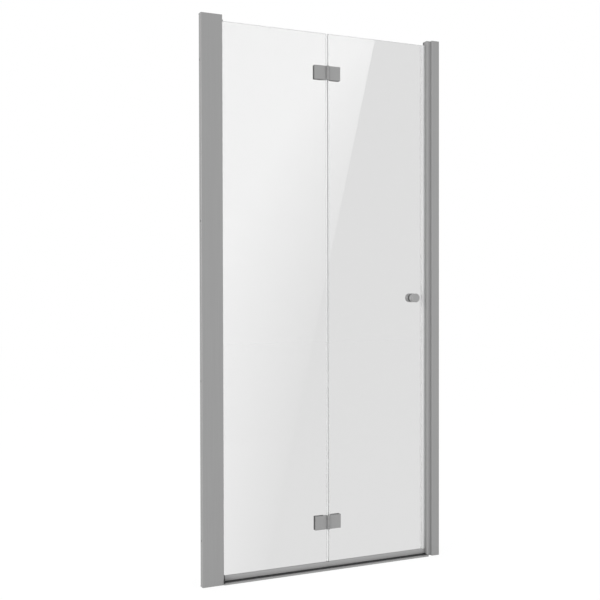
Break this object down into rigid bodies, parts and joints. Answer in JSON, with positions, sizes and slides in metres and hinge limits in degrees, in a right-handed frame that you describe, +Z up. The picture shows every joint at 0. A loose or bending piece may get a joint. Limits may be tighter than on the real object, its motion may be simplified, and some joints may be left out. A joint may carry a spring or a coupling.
{
  "type": "bifold shower door",
  "caption": "Frameless bifold shower door for a recess: clear pivot and folding panes on glass hinges, knob, wall profiles, magnetic closing seal and low threshold.",
  "frame": {"origin": "underside of the threshold, in the middle of the opening and of the glass thickness", "axes": "+X along the opening towards the closing side, +Y into the shower, +Z up"},
  "size_m": [0.9, 0.066, 1.85],
  "materials": {
    "aluminium": "satin anodised",
    "steel": "stainless",
    "hinge_metal": "satin",
    "black_rubber": "matt",
    "black_plastic": "matt",
    "nylon": "matt",
    "magnet_strip": "flexible magnet",
    "clear_glass": "clear toughened",
    "clear_seal": "clear soft"
  },
  "bodies": {
    "frame": {"left_wall_channel": "aluminium", "pivot_profile": "aluminium", "pivot_profile_screws": "steel", "left_top_cap": "aluminium", "left_bottom_cap": "aluminium", "upper_pivot_block": "nylon", "lower_pivot_block": "nylon", "pivot_block_screws": "steel", "pivot_bushes": "nylon", "pivot_lip_seal": "black_rubber", "right_wall_channel": "aluminium", "closing_profile": "aluminium", "closing_profile_screws": "steel", "right_top_cap": "aluminium", "right_bottom_cap": "aluminium", "frame_magnet": "magnet_strip", "threshold_strip": "aluminium", "threshold_seal": "black_rubber", "left_threshold_block": "black_rubber", "right_threshold_block": "aluminium", "threshold_joint": "black_rubber"},
    "pivot_leaf": {"pivot_glass": "clear_glass", "hinge_post": "aluminium", "post_gasket": "black_rubber", "post_top_plug": "aluminium", "post_bottom_plug": "black_plastic", "pivot_pins": "steel", "pivot_drip_rail": "aluminium", "pivot_wiper": "black_rubber", "upper_hinge_pivot_plate": "hinge_metal", "lower_hinge_pivot_plate": "hinge_metal", "upper_hinge_pivot_back": "hinge_metal", "lower_hinge_pivot_back": "hinge_metal", "pivot_hinge_gaskets": "black_rubber", "pivot_hinge_screws": "steel", "pivot_hinge_sleeves": "nylon", "upper_hinge_pin": "steel", "lower_hinge_pin": "steel"},
    "folding_leaf": {"folding_glass": "clear_glass", "upper_hinge_folding_plate": "hinge_metal", "lower_hinge_folding_plate": "hinge_metal", "upper_hinge_folding_back": "hinge_metal", "lower_hinge_folding_back": "hinge_metal", "folding_hinge_gaskets": "black_rubber", "folding_hinge_screws": "steel", "folding_hinge_sleeves": "nylon", "centre_seal": "clear_seal", "closing_seal": "clear_seal", "closing_magnet": "magnet_strip", "folding_drip_rail": "aluminium", "folding_wiper": "black_rubber", "front_knob": "hinge_metal", "back_knob": "hinge_metal", "knob_washers": "black_rubber", "knob_stud": "steel", "knob_sleeve": "nylon"}
  },
  "joints": [
    {"name": "pivot", "type": "hinge", "parent": "frame", "child": "pivot_leaf", "pos_m": [-0.39, 0, 0], "axis": [0, 0, 1], "range_deg": [0, 90]},
    {"name": "fold", "type": "hinge", "parent": "pivot_leaf", "child": "folding_leaf", "pos_m": [0.012, -0.01, 0], "axis": [0, 0, 1], "range_deg": [-175, 0]}
  ]
}
